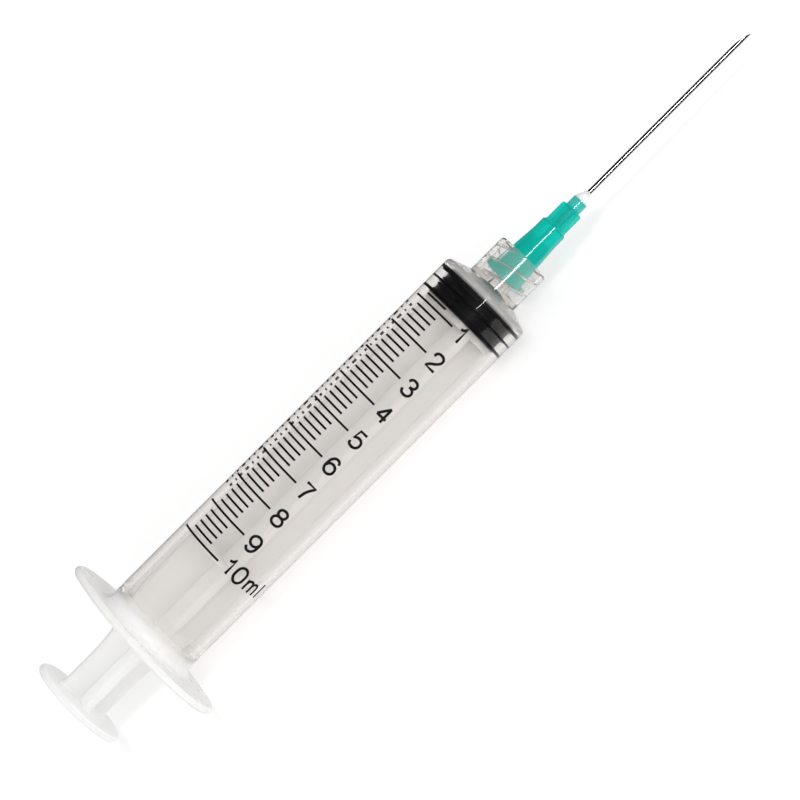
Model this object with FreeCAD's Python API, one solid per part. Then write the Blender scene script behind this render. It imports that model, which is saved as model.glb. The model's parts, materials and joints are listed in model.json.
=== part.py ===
import FreeCAD, Part
import math
import os

# Ten millilitre syringe with a luer lock and a fitted needle, in millimetres.
# The barrel's axis is X, with the needle towards +X and the finger wings along Y.
# The origin is on the axis at the zero line of the scale, where the stopper's front rib stands.

Vector = FreeCAD.Vector
origin = Vector(0, 0, 0)
axis_x = Vector(1, 0, 0)
axis_y = Vector(0, 1, 0)
axis_z = Vector(0, 0, 1)

# Barrel tube
bore_radius = 7.4
barrel_wall = 1.2
nominal_volume = 10000.0
behind_last_line = 19.04
mouth_chamfer = 0.4
bead_from_mouth = 3.7
bead_half_width = 0.4
bead_height = 0.12

# Finger flange
flange_thickness = 1.3
wing_reach = 17.25
flange_half_height = 11.0
wing_tip_radius = 9.4
flange_edge = 0.4
flange_root_radius = 1.6

# Shoulder in front of the zero line
nose_room = 1.2
shoulder_angle = 20.4
shoulder_wall = 1.0
shoulder_edge = 0.3

# Lock collar and male luer nozzle
collar_radius = 4.82
collar_wall = 0.77
collar_front = 10.45
collar_floor = 4.1
collar_edge = 0.25
nozzle_tip = 13.2
nozzle_tip_radius = 1.9625
luer_slope = 0.03
lumen_radius = 1.1

# Stopper
stopper_clearance = 0.03
stopper_length = 4.15
groove_depth = 0.5
rear_rib_width = 0.8
mid_rib_width = 0.65
mid_rib_back = 1.95
front_rib_width = 0.85
rib_flank = 0.15
nose_clearance = 0.3
nose_flat_radius = 1.2
nose_edge_step = 0.3

# Plunger rod
rib_clearance = 0.75
rib_thickness = 1.4
rib_rear_radius = 4.45
rib_roll = 55.0
rib_shoulder_back = 6.4
rib_shoulder_front = 9.7
rib_edge = 0.2
rib_root_flare = 1.0
web_from_mouth = 18.34
web_thickness = 0.9
web_radius = 6.6
plate_radius = 6.9
plate_thickness = 1.1
disc_radius = 8.6
disc_thickness = 1.2
disc_from_mouth = 13.96
disc_edge = 0.3
dish_radius = 7.3
dish_depth = 0.25
neck_radius = 2.6
neck_length = 1.2
head_radius = 4.2
head_length = 3.35
head_front_radius = 2.9
pocket_clearance = 0.1

# Needle hub
hub_rear = 5.4
luer_clearance = 0.02
luer_overrun = 1.0
hub_rear_radius = 3.1
hub_cone_length = 9.6
hub_knee_radius = 2.4
hub_front_radius = 2.37
hub_body_length = 12.2
hub_edge = 0.35
lug_radius = 3.9
lug_width = 3.5
lug_thickness = 1.0
lug_roll = -6.0
thread_lead = 5.0
fin_radius = 2.0
fin_thickness = 0.8
fin_section_length = 3.9
fin_end_radius = 0.45
fin_roll = 34.0
tip_radius = 1.36
tip_length = 1.8
well_radius = 0.75
well_depth = 2.0

# Cannula and its adhesive bead
cannula_radius = 0.4
cannula_bore_radius = 0.26
cannula_reach = 38.4
cannula_seat = 5.3
bevel_angle = 12.0
lancet_angle = 19.0
lancet_turn = 38.0
lancet_share = 0.42
glue_cone_length = 2.0
glue_collar = 0.1

# Places worked out from the sizes above
barrel_radius = bore_radius + barrel_wall
bore_area = math.pi * bore_radius ** 2
scale_length = nominal_volume / bore_area
mouth = -scale_length - behind_last_line
flange_front = mouth + flange_thickness
shoulder_slope = math.tan(math.radians(shoulder_angle))
shoulder_offset = shoulder_wall / math.cos(math.radians(shoulder_angle))
rib_radius = bore_radius - rib_clearance
stopper_radius = bore_radius - stopper_clearance
stopper_rear = -stopper_length
plate_rear = stopper_rear - plate_thickness
disc_front = mouth - disc_from_mouth + disc_thickness / 2
disc_rear = disc_front - disc_thickness
hub_front = hub_rear + hub_body_length
fin_front = hub_front + fin_section_length
tip_front = fin_front + tip_length
point = tip_front + cannula_reach


def inner_cone(radius):
    """Place along the axis where the bore's cone has this radius."""
    return nose_room + (bore_radius - radius) * shoulder_slope


def outer_cone(radius):
    """Place along the axis where the outer cone has this radius."""
    return inner_cone(radius) + shoulder_offset


def nozzle_radius(x):
    """Radius of the male taper at a place along the axis."""
    return nozzle_tip_radius + luer_slope * (nozzle_tip - x)


def section_face(start, steps):
    """Closed face in the XZ plane. A step is a point, or a mid point and an end of an arc."""
    edges = []
    here = Vector(start[0], 0, start[1])
    for step in list(steps) + [start]:
        if isinstance(step[0], tuple):
            middle = Vector(step[0][0], 0, step[0][1])
            there = Vector(step[1][0], 0, step[1][1])
            edges.append(Part.Arc(here, middle, there).toShape())
        else:
            there = Vector(step[0], 0, step[1])
            if there.distanceToPoint(here) > 1e-6:
                edges.append(Part.makeLine(here, there))
        here = there
    return Part.Face(Part.Wire(edges))


def turned(start, steps):
    """Solid of revolution about the axis."""
    return section_face(start, steps).revolve(origin, axis_x, 360)


def cut_corner(corner, before, after, reach):
    """Points this far from a corner on the two lines that meet there."""
    tip = Vector(corner[0], corner[1], 0)
    leave = tip + Vector(before[0] - corner[0], before[1] - corner[1], 0).normalize() * reach
    join = tip + Vector(after[0] - corner[0], after[1] - corner[1], 0).normalize() * reach
    return (leave.x, leave.y), (join.x, join.y)


def flange_outline():
    """Two wide arcs joined by round wing tips, in the plane of the barrel's mouth."""
    tip_centre = wing_reach - wing_tip_radius
    rise = flange_half_height - wing_tip_radius
    wide = (tip_centre ** 2 + flange_half_height ** 2 - wing_tip_radius ** 2) / (2 * rise)
    drop = wide - flange_half_height
    lean = math.atan2(tip_centre, drop)
    side = wide * math.sin(lean)
    level = wide * math.cos(lean) - drop
    top = Part.Arc(Vector(mouth, -side, level), Vector(mouth, 0, flange_half_height), Vector(mouth, side, level))
    right = Part.Arc(Vector(mouth, side, level), Vector(mouth, wing_reach, 0), Vector(mouth, side, -level))
    low = Part.Arc(Vector(mouth, side, -level), Vector(mouth, 0, -flange_half_height), Vector(mouth, -side, -level))
    left = Part.Arc(Vector(mouth, -side, -level), Vector(mouth, -wing_reach, 0), Vector(mouth, -side, level))
    return Part.Wire([arc.toShape() for arc in (top, right, low, left)])


def make_flange():
    plate = Part.Face(flange_outline()).extrude(axis_x * flange_thickness)
    rim = [edge for edge in plate.Edges if abs(edge.tangentAt(edge.FirstParameter).x) < 0.5]
    return plate.makeChamfer(flange_edge, rim)


def make_barrel():
    corner = (outer_cone(barrel_radius), barrel_radius)
    cone_end = (outer_cone(collar_radius), collar_radius)
    corner_leave, corner_join = cut_corner(corner, (0, barrel_radius), cone_end, shoulder_edge)
    collar_bore = collar_radius - collar_wall
    bead = mouth + bead_from_mouth
    tube = turned(
        (mouth, bore_radius + mouth_chamfer),
        [
            (mouth, barrel_radius),
            corner_leave,
            corner_join,
            cone_end,
            (collar_front - collar_edge, collar_radius),
            (collar_front, collar_radius - collar_edge),
            (collar_front, collar_bore),
            (collar_floor, collar_bore),
            (collar_floor, nozzle_radius(collar_floor)),
            (nozzle_tip, nozzle_tip_radius),
            (nozzle_tip, lumen_radius),
            (inner_cone(lumen_radius), lumen_radius),
            (nose_room, bore_radius),
            (bead + bead_half_width, bore_radius),
            (bead, bore_radius - bead_height),
            (bead - bead_half_width, bore_radius),
            (mouth + mouth_chamfer, bore_radius),
        ],
    )
    hole = Part.makeCylinder(bore_radius + mouth_chamfer, flange_thickness, Vector(mouth, 0, 0), axis_x)
    body = tube.fuse(make_flange().cut(hole)).removeSplitter()
    root = [
        edge for edge in body.Edges
        if abs(edge.BoundBox.XMin - flange_front) < 1e-4
        and edge.BoundBox.XLength < 1e-4
        and abs(edge.BoundBox.ZMax - barrel_radius) < 1e-3
    ]
    return body.makeFillet(flange_root_radius, root)


def rib_half():
    """Upper outline of a rib from the thumb disc to the front plate, as section steps."""
    start = mouth - rib_shoulder_back
    end = mouth + rib_shoulder_front
    run = end - start
    climb = rib_radius - rib_rear_radius
    bend = (run ** 2 + climb ** 2) / (4 * climb)
    turn = math.asin(run / 2 / bend) / 2
    sweep = bend * math.sin(turn)
    lift = bend * (1 - math.cos(turn))
    flare = rib_root_flare * (1 - math.cos(math.radians(45)))
    return [
        (disc_front, rib_rear_radius + rib_root_flare),
        (
            (disc_front + flare, rib_rear_radius + flare),
            (disc_front + rib_root_flare, rib_rear_radius),
        ),
        (start, rib_rear_radius),
        ((start + sweep, rib_rear_radius + lift), (start + run / 2, rib_rear_radius + climb / 2)),
        ((end - sweep, rib_radius - lift), (end, rib_radius)),
        (plate_rear, rib_radius),
    ]


def make_rib():
    """One plate across the whole rod, with its long edges bevelled."""
    upper = rib_half()
    half = section_face((disc_front, 0), upper + [(plate_rear, 0)])
    half.translate(Vector(0, -rib_thickness / 2, 0))
    blade = half.extrude(axis_y * rib_thickness)
    long_edges = [
        edge for edge in blade.Edges
        if edge.BoundBox.YLength < 1e-4
        and edge.BoundBox.ZMin > rib_rear_radius - 1e-3
        and edge.BoundBox.XLength > 1e-3
    ]
    blade = blade.makeChamfer(rib_edge, long_edges)
    return blade.fuse(blade.mirror(origin, axis_z)).removeSplitter()


def make_plunger_rod():
    disc = turned(
        (disc_rear + dish_depth, 0),
        [
            (disc_rear + dish_depth, dish_radius - dish_depth),
            (disc_rear, dish_radius),
            (disc_rear, disc_radius - disc_edge),
            (disc_rear + disc_edge, disc_radius),
            (disc_front - disc_edge, disc_radius),
            (disc_front, disc_radius - disc_edge),
            (disc_front, 0),
        ],
    )
    web_rear = mouth + web_from_mouth
    web = Part.makeCylinder(web_radius, web_thickness, Vector(web_rear, 0, 0), axis_x)
    head_rear = stopper_rear + neck_length
    head_front = head_rear + head_length
    snap = turned(
        (plate_rear, 0),
        [
            (plate_rear, plate_radius),
            (stopper_rear, plate_radius),
            (stopper_rear, neck_radius),
            (head_rear, neck_radius),
            (head_rear, head_radius),
            (head_front, head_front_radius),
            (head_front, 0),
        ],
    )
    rib = make_rib()
    cross = rib.fuse(rib.rotated(origin, axis_x, 90))
    cross = cross.rotated(origin, axis_x, rib_roll)
    return disc.fuse([cross, web, snap]).removeSplitter()


def make_stopper():
    crest = stopper_radius
    valley = stopper_radius - groove_depth
    ribs = [
        (stopper_rear, stopper_rear + rear_rib_width),
        (-mid_rib_back, -mid_rib_back + mid_rib_width),
        (0, front_rib_width),
    ]
    ledge = stopper_rear + neck_length
    pocket_end = ledge + head_length + pocket_clearance
    outer = []
    for rear, front in ribs:
        outer += [(rear, valley), (rear + rib_flank, crest), (front - rib_flank, crest), (front, valley)]
    shoulder = valley - nose_edge_step
    outer += [
        (inner_cone(shoulder) - nose_clearance, shoulder),
        (inner_cone(nose_flat_radius) - nose_clearance, nose_flat_radius),
        (inner_cone(nose_flat_radius) - nose_clearance, 0),
        (pocket_end, 0),
        (pocket_end, head_front_radius + pocket_clearance),
        (ledge, head_radius + pocket_clearance),
        (ledge, neck_radius + pocket_clearance),
        (stopper_rear, neck_radius + pocket_clearance),
    ]
    return turned(outer[0], outer[1:])


def make_lug():
    """Lock lug on the hub's rear rim, leaning with the thread it runs in."""
    lean = math.degrees(math.atan(thread_lead / (2 * math.pi * lug_radius)))
    block = Part.makeBox(lug_thickness, lug_width, lug_radius * 2)
    block.translate(Vector(0, -lug_width / 2, 0))
    block = block.rotated(Vector(lug_thickness / 2, 0, 0), axis_z, -lean)
    reach = lug_width / 2 * math.sin(math.radians(lean))
    rim = Part.makeCylinder(lug_radius, lug_thickness + 2 * reach, Vector(-reach, 0, 0), axis_x)
    lug = block.common(rim)
    lug.translate(Vector(hub_rear, 0, 0))
    behind = Part.makeBox(lug_thickness + reach, 4 * lug_radius, 4 * lug_radius)
    behind.translate(Vector(hub_rear - lug_thickness - reach, -2 * lug_radius, -2 * lug_radius))
    return lug.cut(behind)


def make_fin():
    """Fin on the front of the hub, with a round front corner."""
    fin_start = hub_front - hub_edge
    eased = fin_end_radius * (1 - math.cos(math.radians(45)))
    face = section_face(
        (fin_start, 0),
        [
            (fin_start, fin_radius),
            (fin_front - fin_end_radius, fin_radius),
            ((fin_front - eased, fin_radius - eased), (fin_front, fin_radius - fin_end_radius)),
            (fin_front, 0),
        ],
    )
    face.translate(Vector(0, -fin_thickness / 2, 0))
    return face.extrude(axis_y * fin_thickness)


def make_needle_hub():
    socket_rear = nozzle_radius(hub_rear) + luer_clearance
    socket_end = nozzle_tip + luer_overrun
    socket_front = nozzle_radius(socket_end) + luer_clearance
    step_corner = (hub_front, hub_front_radius)
    knee = (hub_rear + hub_cone_length, hub_knee_radius)
    step_leave, step_join = cut_corner(step_corner, knee, (hub_front, 0), hub_edge)
    body = turned(
        (hub_rear, 0),
        [
            (hub_rear, hub_rear_radius),
            knee,
            step_leave,
            step_join,
            (hub_front, tip_radius),
            (tip_front, tip_radius),
            (tip_front, 0),
        ],
    )
    fins = [make_fin().rotated(origin, axis_x, fin_roll + 90 * turn) for turn in range(4)]
    lugs = [make_lug().rotated(origin, axis_x, lug_roll + 180 * turn) for turn in range(2)]
    hub = body.fuse(fins + lugs).removeSplitter()
    cavity = turned(
        (hub_rear, 0),
        [
            (hub_rear, socket_rear),
            (socket_end, socket_front),
            (socket_end, cannula_radius),
            (tip_front - well_depth, cannula_radius),
            (tip_front - well_depth, well_radius),
            (tip_front, well_radius),
            (tip_front, 0),
        ],
    )
    return hub.cut(cavity)


def bevel_cutter(angle, turn, start):
    """Block that takes away all beyond a plane sloping down to the point."""
    size = 4 * cannula_reach
    block = Part.makeBox(size, size, size)
    block.translate(Vector(-size / 2, 0, -size / 2))
    block = block.rotated(origin, axis_z, -angle)
    block.translate(Vector(start, cannula_radius, 0))
    return block.rotated(origin, axis_x, turn)


def make_cannula():
    rear = tip_front - cannula_seat
    length = point - rear
    tube = Part.makeCylinder(cannula_radius, length, Vector(rear, 0, 0), axis_x)
    tube = tube.cut(Part.makeCylinder(cannula_bore_radius, length, Vector(rear, 0, 0), axis_x))
    bevel_length = 2 * cannula_radius / math.tan(math.radians(bevel_angle))
    heel = point - bevel_length
    tube = tube.cut(bevel_cutter(bevel_angle, 0, heel))
    lancet_heel = point - 2 * cannula_radius / math.tan(math.radians(lancet_angle)) * (1 + lancet_share)
    for side in (-1, 1):
        tube = tube.cut(bevel_cutter(lancet_angle, side * lancet_turn, lancet_heel + bevel_length * lancet_share))
    return tube


def make_adhesive_bead():
    well_floor = tip_front - well_depth
    return turned(
        (well_floor, cannula_radius),
        [
            (well_floor, well_radius),
            (tip_front, well_radius),
            (tip_front, tip_radius),
            (tip_front + glue_cone_length, cannula_radius + glue_collar),
            (tip_front + glue_cone_length, cannula_radius),
        ],
    )


pieces = {
    "barrel": make_barrel,
    "plunger_rod": make_plunger_rod,
    "stopper": make_stopper,
    "needle_hub": make_needle_hub,
    "needle_cannula": make_cannula,
    "adhesive_bead": make_adhesive_bead,
}

os.makedirs("parts", exist_ok=True)
for name, make in pieces.items():
    shape = make()
    shape.exportStep("parts/" + name + ".step")
    print(name, "solids", len(shape.Solids), "valid", shape.isValid(), "volume", round(shape.Volume, 2))
print("travel", round(-(mouth + bead_from_mouth + bead_half_width) - stopper_length, 2), "mouth", round(mouth, 3))
print("scale", round(scale_length, 3), "point", round(point, 2), "disc rear", round(disc_rear, 2))
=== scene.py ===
import itertools
import json
import math

import bmesh
import bpy
from mathutils import Matrix, Vector


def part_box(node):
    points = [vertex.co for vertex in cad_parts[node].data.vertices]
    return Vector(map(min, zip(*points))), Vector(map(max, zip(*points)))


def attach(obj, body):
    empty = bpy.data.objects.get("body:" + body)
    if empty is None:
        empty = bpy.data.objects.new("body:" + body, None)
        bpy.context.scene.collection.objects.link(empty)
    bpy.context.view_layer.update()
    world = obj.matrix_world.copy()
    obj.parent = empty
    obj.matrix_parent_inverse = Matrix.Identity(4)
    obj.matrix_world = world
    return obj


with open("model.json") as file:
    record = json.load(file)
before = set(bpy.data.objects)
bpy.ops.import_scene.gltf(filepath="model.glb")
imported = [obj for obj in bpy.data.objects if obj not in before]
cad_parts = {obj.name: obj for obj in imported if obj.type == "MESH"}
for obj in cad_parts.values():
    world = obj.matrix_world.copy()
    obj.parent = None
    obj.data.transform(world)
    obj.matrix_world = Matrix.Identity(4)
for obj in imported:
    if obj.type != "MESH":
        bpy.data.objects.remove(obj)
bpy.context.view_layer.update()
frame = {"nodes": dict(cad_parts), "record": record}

# ten millilitre syringe lying on a white table, needle towards +X, finger wings along Y
# lengths are metres, most settings are written as a number times mm

mm = 0.001

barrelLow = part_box("barrel")[0]
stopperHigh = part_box("stopper")[1]
mounts = {mount["name"]: mount for mount in frame["record"]["mounts"]}
barrelRadius = mounts["barrel_body"]["dims"]["r_mm"] * mm

cameraSet = {
    "roll": 34.0,                  # how far round the barrel from straight above, degrees
    "lean": 45.01,                 # slope of the barrel in the picture, degrees
    "distance": 406.8 * mm,
    "squareOn": -16.9 * mm,        # place on the axis that the lens stands square over
    "middleAlong": -19.9 * mm,     # point shown in the middle of the picture
    "middleAcross": 2.08 * mm,
    "lens": 113.5,                 # focal length as Blender counts it, in its millimetres
    "nearest": 10 * mm,
}


def pictureAxes():
    roll = Matrix.Rotation(math.radians(cameraSet["roll"]), 3, "X")
    along = Vector((1, 0, 0))
    across = roll @ Vector((0, -1, 0))
    towards = roll @ Vector((0, 0, 1))
    return along, across, towards


def makeCamera():
    along, across, towards = pictureAxes()
    lean = math.radians(cameraSet["lean"])
    place = along * cameraSet["squareOn"] + towards * cameraSet["distance"]
    aim = along * cameraSet["middleAlong"] + across * cameraSet["middleAcross"]
    back = (place - aim).normalized()
    right = along * math.cos(lean) + across * math.sin(lean)
    right = (right - back * right.dot(back)).normalized()
    up = back.cross(right)
    lens = bpy.data.cameras.new("camera")
    lens.lens = cameraSet["lens"]
    lens.clip_start = cameraSet["nearest"]
    camera = bpy.data.objects.new("camera", lens)
    bpy.context.scene.collection.objects.link(camera)
    turn = Matrix((right, up, back)).transposed()
    camera.matrix_world = Matrix.Translation(place) @ turn.to_4x4()
    bpy.context.scene.camera = camera
    print("camera set up")


# node helpers

def newMaterial(name):
    material = bpy.data.materials.new(name)
    material.use_nodes = True
    tree = material.node_tree
    return material, tree, tree.nodes["Principled BSDF"]


def link(tree, fromNode, fromSocket, toNode, toSocket):
    tree.links.new(fromNode.outputs[fromSocket], toNode.inputs[toSocket])


def mathNode(tree, operation, first, second):
    node = tree.nodes.new("ShaderNodeMath")
    node.operation = operation
    for index, value in enumerate((first, second)):
        if isinstance(value, (int, float)):
            node.inputs[index].default_value = value
        else:
            tree.links.new(value, node.inputs[index])
    return node.outputs[0]


noiseSpread = (0.3, 0.7)  # most of a noise lies between these


def noiseRange(tree, scale, detail, low, high):
    place = tree.nodes.new("ShaderNodeTexCoord")
    noise = tree.nodes.new("ShaderNodeTexNoise")
    noise.inputs["Scale"].default_value = scale
    noise.inputs["Detail"].default_value = detail
    link(tree, place, "Object", noise, "Vector")
    spread = tree.nodes.new("ShaderNodeMapRange")
    spread.inputs["From Min"].default_value, spread.inputs["From Max"].default_value = noiseSpread
    spread.inputs["To Min"].default_value = low
    spread.inputs["To Max"].default_value = high
    link(tree, noise, 0, spread, "Value")
    return noise.outputs[0], spread.outputs[0]


def addBump(tree, shader, height, strength, depth):
    bump = tree.nodes.new("ShaderNodeBump")
    bump.inputs["Strength"].default_value = strength
    bump.inputs["Distance"].default_value = depth
    tree.links.new(height, bump.inputs["Height"])
    link(tree, bump, "Normal", shader, "Normal")


def grainSurface(tree, shader, setting):
    # noise in the gloss, and in the surface of what has a bump
    noise, grain = noiseRange(tree, *setting["grain"], *setting["gloss"])
    tree.links.new(grain, shader.inputs["Roughness"])
    if "bump" in setting:
        addBump(tree, shader, noise, *setting["bump"])
    return noise


def scatterLight(shader, weight, depth):
    shader.inputs["Subsurface Weight"].default_value = weight
    shader.inputs["Subsurface Radius"].default_value = (1.0, 1.0, 1.0)
    shader.inputs["Subsurface Scale"].default_value = depth


rampReach = (-100.0, 40.0)  # stretch of the axis that a ramp covers, in millimetres


def rampAlong(tree, stops):
    # colours by place along the barrel, stops are (millimetres, colour or grey)
    place = tree.nodes.new("ShaderNodeTexCoord")
    split = tree.nodes.new("ShaderNodeSeparateXYZ")
    link(tree, place, "Object", split, "Vector")
    spread = tree.nodes.new("ShaderNodeMapRange")
    spread.inputs["From Min"].default_value = rampReach[0] * mm
    spread.inputs["From Max"].default_value = rampReach[1] * mm
    link(tree, split, "X", spread, "Value")
    ramp = tree.nodes.new("ShaderNodeValToRGB")
    elements = ramp.color_ramp.elements
    while len(elements) < len(stops):
        elements.new(0.5)
    for element, (at, shade) in zip(elements, stops):
        element.position = (at - rampReach[0]) / (rampReach[1] - rampReach[0])
    for element, (at, shade) in zip(elements, stops):
        element.color = (*shade, 1) if isinstance(shade, tuple) else (shade, shade, shade, 1)
    link(tree, spread, "Result", ramp, "Fac")
    return ramp.outputs["Color"]


def letLightThrough(tree, shader, tint, share):
    # lamps and soft light reach what is inside without bending
    output = tree.nodes["Material Output"]
    path = tree.nodes.new("ShaderNodeLightPath")
    passing = mathNode(tree, "MAXIMUM", path.outputs["Is Shadow Ray"], path.outputs["Is Diffuse Ray"])
    passing = mathNode(tree, "MULTIPLY", passing, share)
    window = tree.nodes.new("ShaderNodeBsdfTransparent")
    window.inputs["Color"].default_value = tint
    mix = tree.nodes.new("ShaderNodeMixShader")
    tree.links.new(passing, mix.inputs[0])
    tree.links.new(shader.outputs[0], mix.inputs[1])
    link(tree, window, 0, mix, 2)
    link(tree, mix, 0, output, "Surface")


# finishes: grain is the noise's scale and detail, gloss its range of roughness, bump its strength and depth

barrelSet = {
    "clear": (0.985, 0.98, 0.975, 1),
    "inside": (0.70, 0.65, 0.60, 1),    # the plastic greys what is seen through more of it
    "insideDensity": 150.0,
    "milky": (0.93, 0.93, 0.915, 1),
    "milkWeight": 0.5,
    "milkDepth": 1.5 * mm,
    "grain": (220.0, 3.0),
    "gloss": (0.24, 0.34),
    "ior": 1.49,
    "roughness": 0.04,
    # how milky the plastic looks: thick flange, thin tube, shoulder, collar
    "haze": [(-76.3, 0.90), (-74.2, 0.80), (-73.2, 0.35), (-72.2, 0.08), (-70.0, 0.0),
             (0.6, 0.0), (1.1, 0.28), (2.3, 0.17), (2.9, 0.05), (5.0, 0.06)],
    "letPast": (0.99, 0.985, 0.98, 1),
    "hazeStops": 0.4,             # share of the light that full haze keeps from what is inside
}


def clearPlastic():
    material, tree, glass = newMaterial("clear_plastic")
    glass.inputs["Base Color"].default_value = barrelSet["clear"]
    glass.inputs["IOR"].default_value = barrelSet["ior"]
    glass.inputs["Roughness"].default_value = barrelSet["roughness"]
    glass.inputs["Transmission Weight"].default_value = 1.0
    milk = tree.nodes.new("ShaderNodeBsdfPrincipled")
    milk.inputs["Base Color"].default_value = barrelSet["milky"]
    scatterLight(milk, barrelSet["milkWeight"], barrelSet["milkDepth"])
    grainSurface(tree, milk, barrelSet)
    haze = rampAlong(tree, barrelSet["haze"])
    mix = tree.nodes.new("ShaderNodeMixShader")
    tree.links.new(haze, mix.inputs[0])
    link(tree, glass, 0, mix, 1)
    link(tree, milk, 0, mix, 2)
    kept = mathNode(tree, "MULTIPLY", haze, barrelSet["hazeStops"])
    letLightThrough(tree, mix, barrelSet["letPast"], mathNode(tree, "SUBTRACT", 1.0, kept))
    depth = tree.nodes.new("ShaderNodeVolumeAbsorption")
    depth.inputs["Color"].default_value = barrelSet["inside"]
    depth.inputs["Density"].default_value = barrelSet["insideDensity"]
    link(tree, depth, "Volume", tree.nodes["Material Output"], "Volume")
    return material


rodSet = {
    # white outside and behind the cross web; in front of it a duller grey-beige, which is painted shade for
    # the dimmer light deeper in the barrel
    "shade": [(-58.6, (0.965, 0.965, 0.955)), (-57.6, (0.90, 0.885, 0.87))],
    "weight": 1.0,
    "depth": 8.0 * mm,
    "grain": (250.0, 3.0),
    "gloss": (0.30, 0.42),
    "bump": (0.04, 0.1 * mm),
}


def whitePlastic():
    material, tree, shader = newMaterial("white_plastic")
    # the base colour ramp paints shade on the rod, duller in front of the cross web
    tree.links.new(rampAlong(tree, rodSet["shade"]), shader.inputs["Base Color"])
    scatterLight(shader, rodSet["weight"], rodSet["depth"])
    grainSurface(tree, shader, rodSet)
    return material


rubberSet = {
    "colour": (0.003, 0.0025, 0.0035, 1),
    "shine": 0.06,
    "grain": (400.0, 4.0),
    "gloss": (0.30, 0.5),
    "bump": (0.1, 0.05 * mm),
}


def blackRubber():
    material, tree, shader = newMaterial("black_rubber")
    shader.inputs["Base Color"].default_value = rubberSet["colour"]
    shader.inputs["Specular IOR Level"].default_value = rubberSet["shine"]
    grainSurface(tree, shader, rubberSet)
    return material


hubSet = {
    "shade": [(21.4, (0.008, 0.62, 0.53)), (21.9, (0.10, 0.72, 0.64))],   # paler where the tip is thin
    "ior": 1.49,
    "clearness": 0.55,
    "grain": (300.0, 3.0),
    "gloss": (0.07, 0.13),
    "bump": (0.03, 0.05 * mm),
    "letPast": (0.35, 0.85, 0.8, 1),
    "share": 0.6,                 # share of the light that goes through unbent
}


def greenPlastic():
    material, tree, shader = newMaterial("green_hub_plastic")
    tree.links.new(rampAlong(tree, hubSet["shade"]), shader.inputs["Base Color"])
    shader.inputs["IOR"].default_value = hubSet["ior"]
    shader.inputs["Transmission Weight"].default_value = hubSet["clearness"]
    grainSurface(tree, shader, hubSet)
    letLightThrough(tree, shader, hubSet["letPast"], hubSet["share"])
    return material


steelSet = {
    "colour": (0.58, 0.56, 0.55, 1),
    "grain": (900.0, 2.0),
    "gloss": (0.10, 0.2),
}


def drawnSteel():
    material, tree, shader = newMaterial("drawn_steel")
    shader.inputs["Base Color"].default_value = steelSet["colour"]
    shader.inputs["Metallic"].default_value = 1.0
    grainSurface(tree, shader, steelSet)
    return material


beadSet = {
    "colour": (0.97, 0.97, 0.965, 1),
    "weight": 0.8,
    "depth": 1.0 * mm,
    "grain": (600.0, 2.0),
    "gloss": (0.18, 0.3),
    "bump": (0.05, 0.05 * mm),
}


def clearAdhesive():
    material, tree, shader = newMaterial("cloudy_adhesive")
    shader.inputs["Base Color"].default_value = beadSet["colour"]
    scatterLight(shader, beadSet["weight"], beadSet["depth"])
    grainSurface(tree, shader, beadSet)
    return material


inkSet = {
    "greys": (0.003, 0.008),
    "shine": 0.3,
    "grain": (900.0, 2.0),
    "gloss": (0.5, 0.65),
}


def blackInk():
    material, tree, shader = newMaterial("black_ink")
    noise = grainSurface(tree, shader, inkSet)
    tint = tree.nodes.new("ShaderNodeMapRange")
    tint.inputs["To Min"].default_value, tint.inputs["To Max"].default_value = inkSet["greys"]
    tree.links.new(noise, tint.inputs["Value"])
    link(tree, tint, 0, shader, "Base Color")
    shader.inputs["Specular IOR Level"].default_value = inkSet["shine"]
    return material


def dressPieces():
    finishes = {
        "barrel": clearPlastic(),
        "plunger_rod": whitePlastic(),
        "stopper": blackRubber(),
        "needle_hub": greenPlastic(),
        "needle_cannula": drawnSteel(),
        "adhesive_bead": clearAdhesive(),
    }
    for name, finish in finishes.items():
        mesh = frame["nodes"][name].data
        mesh.materials.clear()
        mesh.materials.append(finish)
    print("six pieces dressed")
    return finishes


def finishPiece(name, bm, material, body):
    bmesh.ops.recalc_face_normals(bm, faces=bm.faces)
    mesh = bpy.data.meshes.new(name)
    bm.to_mesh(mesh)
    bm.free()
    mesh.materials.append(material)
    piece = bpy.data.objects.new(name, mesh)
    bpy.context.scene.collection.objects.link(piece)
    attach(piece, body)


# scale printed on the barrel

scaleSet = {
    "millilitres": 10,
    "partsPerMl": 5,
    "bore": 14.8 * mm,
    "facing": 34.0,               # the line round the barrel that faces the camera, degrees from the top
    "longFrom": -0.3 * mm,        # round the barrel from that line, up is minus
    "longTo": -10.4 * mm,
    "shortFrom": -3.0 * mm,
    "shortTo": -8.0 * mm,
    "lineWidth": 0.36 * mm,
    "inkThick": 0.02 * mm,
    "inkLift": 0.004 * mm,
    "bendEvery": 0.5 * mm,        # a bar has a cut each so far round the barrel
    "noteRow": -11.35 * mm,       # a row of plain marks stands where small print would be
    "noteTall": 1.1 * mm,
    "noteStart": -48.9 * mm,
    "noteEnd": -7.2 * mm,
    "noteMarks": (0.5, 0.3, 0.4, 0.7, 0.3, 0.4, 0.9, 0.3),   # lengths in millimetres, over and over
    "noteGap": 0.8 * mm,
}


def wrapOnBarrel(bm):
    facing = math.radians(scaleSet["facing"])
    for vert in bm.verts:
        angle = facing + vert.co.y / barrelRadius
        radius = barrelRadius + scaleSet["inkLift"] + vert.co.z
        vert.co = Vector((vert.co.x, -radius * math.sin(angle), radius * math.cos(angle)))


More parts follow.
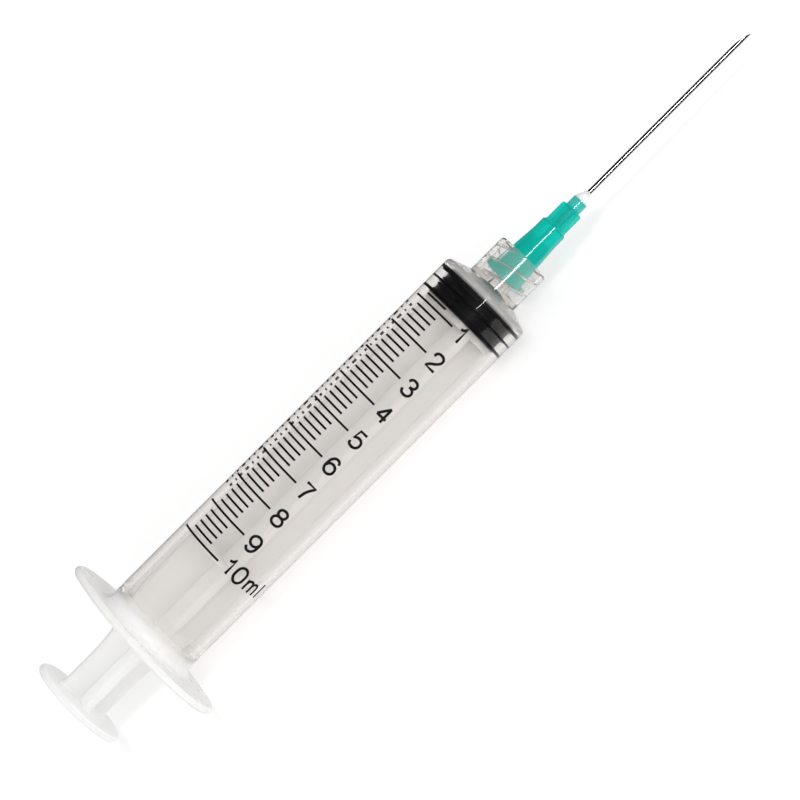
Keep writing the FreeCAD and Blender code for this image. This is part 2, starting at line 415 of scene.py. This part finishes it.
def inkBar(bm, x, y, length, width):
    # flat bar, length along X and width round the barrel, with cuts enough to bend
    cuts = max(2, round(width / scaleSet["bendEvery"]))
    made = bmesh.ops.create_grid(bm, x_segments=1, y_segments=cuts, size=0.5)
    verts = made["verts"]
    bmesh.ops.scale(bm, vec=(length, width, 1), verts=verts)
    bmesh.ops.translate(bm, vec=(x, y, 0), verts=verts)
    faces = list({face for vert in verts for face in vert.link_faces})
    raised = bmesh.ops.extrude_face_region(bm, geom=faces, use_keep_orig=True)
    top = [item for item in raised["geom"] if isinstance(item, bmesh.types.BMVert)]
    bmesh.ops.translate(bm, vec=(0, 0, scaleSet["inkThick"]), verts=top)


def makeScaleLines(ink):
    bm = bmesh.new()
    millilitre = 1000 * mm ** 3
    pitch = millilitre / (math.pi * (scaleSet["bore"] / 2) ** 2)
    for step in range(scaleSet["millilitres"] * scaleSet["partsPerMl"] + 1):
        x = -step * pitch / scaleSet["partsPerMl"]
        size = "short" if step % scaleSet["partsPerMl"] else "long"
        start, stop = scaleSet[size + "From"], scaleSet[size + "To"]
        inkBar(bm, x, (start + stop) / 2, scaleSet["lineWidth"], abs(stop - start))
    x = scaleSet["noteStart"]
    marks = itertools.cycle(scaleSet["noteMarks"])
    while x < scaleSet["noteEnd"]:
        length = next(marks) * mm
        inkBar(bm, x + length / 2, scaleSet["noteRow"], length, scaleSet["noteTall"])
        x += length + scaleSet["noteGap"]
    wrapOnBarrel(bm)
    finishPiece("scale_lines", bm, ink, "barrel")
    print("scale lines printed")
    return pitch


# pen strokes of the plain numbers on a grid one high, with the points that are corners
penStrokes = {
    "0": [(True, [(0.31, 1.0), (0.08, 0.86), (0.01, 0.5), (0.08, 0.14), (0.31, 0.0), (0.54, 0.14),
                  (0.61, 0.5), (0.54, 0.86)], ())],
    "1": [(False, [(0.06, 0.74), (0.24, 0.82), (0.34, 1.0), (0.34, 0.0)], (2, 3))],
    "2": [(False, [(0.04, 0.70), (0.10, 0.91), (0.32, 1.0), (0.54, 0.90), (0.59, 0.70), (0.46, 0.47),
                   (0.18, 0.22), (0.03, 0.0), (0.62, 0.0)], (7, 8))],
    "3": [(False, [(0.05, 0.76), (0.14, 0.94), (0.32, 1.0), (0.52, 0.91), (0.57, 0.74), (0.47, 0.58),
                   (0.27, 0.54)], (6,)),
          (False, [(0.27, 0.54), (0.50, 0.48), (0.61, 0.28), (0.52, 0.07), (0.31, 0.0), (0.11, 0.07),
                   (0.03, 0.25)], (0,))],
    "4": [(False, [(0.47, 0.0), (0.47, 1.0)], (0, 1)),
          (False, [(0.47, 1.0), (0.03, 0.30)], (0, 1)),
          (False, [(0.03, 0.30), (0.63, 0.30)], (0, 1))],
    "5": [(False, [(0.56, 1.0), (0.14, 1.0), (0.07, 0.50), (0.30, 0.62), (0.53, 0.54), (0.61, 0.32),
                   (0.51, 0.08), (0.29, 0.0), (0.10, 0.07), (0.03, 0.22)], (0, 1, 2))],
    "6": [(False, [(0.57, 0.80), (0.48, 0.95), (0.32, 1.0), (0.12, 0.87), (0.03, 0.50), (0.09, 0.12),
                   (0.31, 0.0), (0.54, 0.10), (0.61, 0.32), (0.52, 0.54), (0.32, 0.62), (0.12, 0.53),
                   (0.04, 0.36)], ())],
    "7": [(False, [(0.03, 1.0), (0.61, 1.0), (0.36, 0.55), (0.24, 0.0)], (0, 1))],
    "8": [(True, [(0.32, 1.0), (0.12, 0.92), (0.07, 0.76), (0.14, 0.60), (0.32, 0.54), (0.50, 0.60),
                  (0.57, 0.76), (0.52, 0.92)], ()),
          (True, [(0.32, 0.54), (0.10, 0.46), (0.02, 0.27), (0.10, 0.07), (0.32, 0.0), (0.54, 0.07),
                  (0.62, 0.27), (0.54, 0.46)], ())],
    "m": [(False, [(0.05, 0.0), (0.05, 0.70)], (0, 1)),
          (False, [(0.05, 0.42), (0.12, 0.61), (0.27, 0.68), (0.40, 0.62), (0.44, 0.46), (0.44, 0.0)], (5,)),
          (False, [(0.44, 0.42), (0.51, 0.61), (0.66, 0.68), (0.79, 0.62), (0.83, 0.46), (0.83, 0.0)], (5,))],
    "l": [(False, [(0.08, 0.0), (0.08, 1.0)], (0, 1))],
}
penStrokes["9"] = [
    (closed, [(0.64 - x, 1.0 - y) for x, y in points], corners)
    for closed, points, corners in penStrokes["6"]
]

numberSet = {
    "tall": 2.80 * mm,
    "wide": 3.15 * mm,            # width that a grid one wide is stretched to
    "pen": 0.47 * mm,
    "penRings": 1,                # bevel steps round a stroke
    "penSteps": 5,                # steps along a stroke, from point to point
    "firstFrom": 0.80 * mm,       # round the barrel from the line that faces the camera
    "advance": {"1": 0.47, "l": 0.16, "m": 0.93},   # widths on the grid
    "usualAdvance": 0.66,
    "gap": 0.225,
    "lastShift": 0.70 * mm,
}


def strokeMesh(closed, points, corners):
    curve = bpy.data.curves.new("pen", "CURVE")
    curve.dimensions = "3D"
    curve.bevel_depth = numberSet["pen"] / 2
    curve.bevel_resolution = numberSet["penRings"]
    curve.resolution_u = numberSet["penSteps"]
    curve.use_fill_caps = True
    spline = curve.splines.new("BEZIER")
    spline.bezier_points.add(len(points) - 1)
    spline.use_cyclic_u = closed
    for index, (x, y) in enumerate(points):
        knot = spline.bezier_points[index]
        knot.co = (x * numberSet["wide"], y * numberSet["tall"], 0)
        kind = "VECTOR" if index in corners else "AUTO"
        knot.handle_left_type = kind
        knot.handle_right_type = kind
    pen = bpy.data.objects.new("pen", curve)
    bpy.context.scene.collection.objects.link(pen)
    bpy.context.view_layer.update()
    shape = bpy.data.meshes.new_from_object(pen)
    bpy.data.objects.remove(pen)
    bpy.data.curves.remove(curve)
    return shape


def writeLabel(bm, text, x):
    # foot towards the thumb, reading away from the lines
    at = numberSet["firstFrom"]
    flat = scaleSet["inkThick"] / numberSet["pen"]
    for letter in text:
        for stroke in penStrokes[letter]:
            shape = strokeMesh(*stroke)
            for vert in shape.vertices:
                side, up, thick = vert.co
                vert.co = (x - numberSet["tall"] / 2 + up, at + side, scaleSet["inkThick"] / 2 + thick * flat)
            bm.from_mesh(shape)
            bpy.data.meshes.remove(shape)
        step = numberSet["advance"].get(letter, numberSet["usualAdvance"]) + numberSet["gap"]
        at += step * numberSet["wide"]


def makeScaleNumbers(ink, pitch):
    bm = bmesh.new()
    last = scaleSet["millilitres"]
    for count in range(1, last):
        writeLabel(bm, str(count), -count * pitch)
    writeLabel(bm, str(last) + "ml", -last * pitch + numberSet["lastShift"])
    wrapOnBarrel(bm)
    finishPiece("scale_numbers", bm, ink, "barrel")
    print("scale numbers printed")


# where the stopper's ribs are squeezed against the bore

sealSet = {
    "radius": 7.406 * mm,
    "root": 7.36 * mm,
    "bands": [(-4.0 * mm, -3.5 * mm), (-1.8 * mm, -1.45 * mm), (0.15 * mm, 0.70 * mm)],
    "segments": 128,
}


def makeSeals(rubber):
    bm = bmesh.new()
    root, crest = sealSet["root"], sealSet["radius"]
    for back, front in sealSet["bands"]:
        profile = [(back, root), (back, crest), (front, crest), (front, root)]
        verts = [bm.verts.new((x, 0, r)) for x, r in profile]
        edges = [bm.edges.new(ends) for ends in zip(verts, verts[1:])]
        bmesh.ops.spin(bm, geom=verts + edges, cent=(0, 0, 0), axis=(1, 0, 0), angle=2 * math.pi,
                       steps=sealSet["segments"], use_merge=True, use_duplicate=False)
    finishPiece("stopper_seals", bm, rubber, "plunger")
    print("seals squeezed on")


# double thread inside the lock collar

threadSet = {
    "lead": 5.0 * mm,
    "starts": 2,
    "rootRadius": 4.08 * mm,
    "crestRadius": 3.90 * mm,
    "rootWidth": 0.45 * mm,
    "crestWidth": 0.15 * mm,
    "back": 4.3 * mm,
    "front": 9.7 * mm,
    "lugAngle": -6.0,             # where one lug of the hub stands, degrees
    "aheadOfLug": 6.95 * mm,      # middle of a ridge at that angle, just in front of the lug
    "stepsPerTurn": 72,
}


def makeThread(plastic):
    bm = bmesh.new()
    crest, root = threadSet["crestRadius"], threadSet["rootRadius"]
    lead = threadSet["lead"]
    atRoot, atCrest = threadSet["rootWidth"] / 2, threadSet["crestWidth"] / 2
    profile = [(-atRoot, root), (-atCrest, crest), (atCrest, crest), (atRoot, root)]
    turns = (threadSet["front"] - threadSet["back"]) / lead
    steps = round(turns * threadSet["stepsPerTurn"])
    for start in range(threadSet["starts"]):
        shift = lead * start / threadSet["starts"]
        angle = threadSet["lugAngle"] + 360 * (threadSet["back"] - threadSet["aheadOfLug"] + shift) / lead
        verts = [bm.verts.new((threadSet["back"] + x, 0, r)) for x, r in profile]
        face = bm.faces.new(verts)
        turn = Matrix.Rotation(math.radians(angle), 3, "X")
        bmesh.ops.rotate(bm, cent=(0, 0, 0), matrix=turn, verts=verts)
        bmesh.ops.spin(bm, geom=[face], cent=(0, 0, 0), axis=(1, 0, 0), dvec=(turns * lead / steps, 0, 0),
                       angle=turns * 2 * math.pi, steps=steps, use_duplicate=False)
    finishPiece("lock_thread", bm, plastic, "barrel")
    print("lock thread cut")


# table, sky and lamps

lightSet = {
    "skyOnMatt": 0.65,
    "skyInGloss": 0.03,
    "skyInGlass": 0.12,
    "tableColour": (0.50, 0.50, 0.50, 1),
    "tableGlow": 0.42,
    "tableSeen": 0.13,            # more glow for what the camera and glass see
    "tableInGlass": 0.10,
    "dimInGloss": 0.92,           # the far table is dark in gloss, as the room behind it would be
    "dimBetween": (0.12, 0.40),   # slants over which it goes dark, nought is square on
    "tableSize": 6.0,
    "tableRoughness": 0.9,
}

# place, length along the barrel and width across it in metres, power in watts
lampSet = {
    "top_lamp": {"place": (-0.02, -0.125, 0.79), "size": (0.14, 0.14), "power": 1.7, "onMatt": True},
    "right_lamp": {"place": (0.45, -0.60, 0.25), "size": (0.5, 0.4), "power": 1.7, "onMatt": True},
    "left_lamp": {"place": (-0.50, -0.50, 0.35), "size": (0.5, 0.4), "power": 0.9, "onMatt": True},
    "flash": {"place": (0.082, -0.257, 0.306), "size": (0.13, 0.045), "power": 0.46, "onMatt": False},
}


def makeTable():
    # it slopes so that it meets the flange's edge and the barrel's front end
    drop = -barrelLow.z - barrelRadius
    settle = math.atan2(drop, stopperHigh.x - barrelLow.x)
    bm = bmesh.new()
    bmesh.ops.create_grid(bm, x_segments=1, y_segments=1, size=lightSet["tableSize"])
    mesh = bpy.data.meshes.new("table_top")
    bm.to_mesh(mesh)
    bm.free()
    table = bpy.data.objects.new("table_top", mesh)
    table.rotation_euler = (0, -settle, 0)
    table.location = (barrelLow.x, 0, barrelLow.z)
    bpy.context.scene.collection.objects.link(table)
    material, tree, shader = newMaterial("table_white")
    shader.inputs["Base Color"].default_value = lightSet["tableColour"]
    shader.inputs["Roughness"].default_value = lightSet["tableRoughness"]
    shader.inputs["Specular IOR Level"].default_value = 0.0
    path = tree.nodes.new("ShaderNodeLightPath")
    seen = mathNode(tree, "MULTIPLY", path.outputs["Is Camera Ray"], lightSet["tableSeen"])
    through = mathNode(tree, "MULTIPLY", path.outputs["Is Transmission Ray"], lightSet["tableInGlass"])
    lift = mathNode(tree, "MAXIMUM", seen, through)
    glow = mathNode(tree, "ADD", lift, lightSet["tableGlow"])
    shader.inputs["Emission Color"].default_value = (1, 1, 1, 1)
    tree.links.new(glow, shader.inputs["Emission Strength"])
    gloss = mathNode(tree, "SUBTRACT", path.outputs["Is Glossy Ray"], path.outputs["Is Transmission Ray"])
    slant = tree.nodes.new("ShaderNodeLayerWeight")
    far = tree.nodes.new("ShaderNodeMapRange")
    far.inputs["From Min"].default_value, far.inputs["From Max"].default_value = lightSet["dimBetween"]
    far.inputs["To Max"].default_value = lightSet["dimInGloss"]
    link(tree, slant, "Facing", far, "Value")
    gloss = mathNode(tree, "MULTIPLY", gloss, far.outputs["Result"])
    dim = tree.nodes.new("ShaderNodeMixShader")
    dark = tree.nodes.new("ShaderNodeBsdfDiffuse")
    dark.inputs["Color"].default_value = (0, 0, 0, 1)
    tree.links.new(gloss, dim.inputs[0])
    link(tree, shader, 0, dim, 1)
    link(tree, dark, 0, dim, 2)
    link(tree, dim, 0, tree.nodes["Material Output"], "Surface")
    mesh.materials.append(material)
    print("table laid")


def makeSky():
    world = bpy.data.worlds.new("studio_sky")
    bpy.context.scene.world = world
    world.use_nodes = True
    tree = world.node_tree
    back = tree.nodes["Background"]
    back.inputs["Color"].default_value = (1, 1, 1, 1)
    path = tree.nodes.new("ShaderNodeLightPath")
    parts = (
        ("Is Camera Ray", 1.0),
        ("Is Diffuse Ray", lightSet["skyOnMatt"]),
        ("Is Glossy Ray", lightSet["skyInGloss"]),
        ("Is Transmission Ray", lightSet["skyInGlass"]),
    )
    total = 0.0
    for name, strength in parts:
        share = mathNode(tree, "MULTIPLY", path.outputs[name], strength)
        total = mathNode(tree, "MAXIMUM", total, share)
    tree.links.new(total, back.inputs["Strength"])
    print("sky ready")


def makeLamps():
    for name, setting in lampSet.items():
        lamp = bpy.data.lights.new(name, "AREA")
        lamp.shape = "RECTANGLE"
        lamp.size, lamp.size_y = setting["size"]
        lamp.energy = setting["power"]
        holder = bpy.data.objects.new(name, lamp)
        holder.visible_diffuse = setting["onMatt"]
        holder.visible_glossy = not setting["onMatt"]
        holder.visible_transmission = False
        bpy.context.scene.collection.objects.link(holder)
        holder.location = setting["place"]
        holder.rotation_mode = "QUATERNION"
        holder.rotation_quaternion = Vector(setting["place"]).to_track_quat("Z", "Y")
    print("lamps hung")


makeCamera()
finishes = dressPieces()
ink = blackInk()
pitch = makeScaleLines(ink)
makeScaleNumbers(ink, pitch)
makeSeals(finishes["stopper"])
makeThread(finishes["barrel"])
makeTable()
makeSky()
makeLamps()
bpy.context.scene.view_settings.view_transform = "Standard"
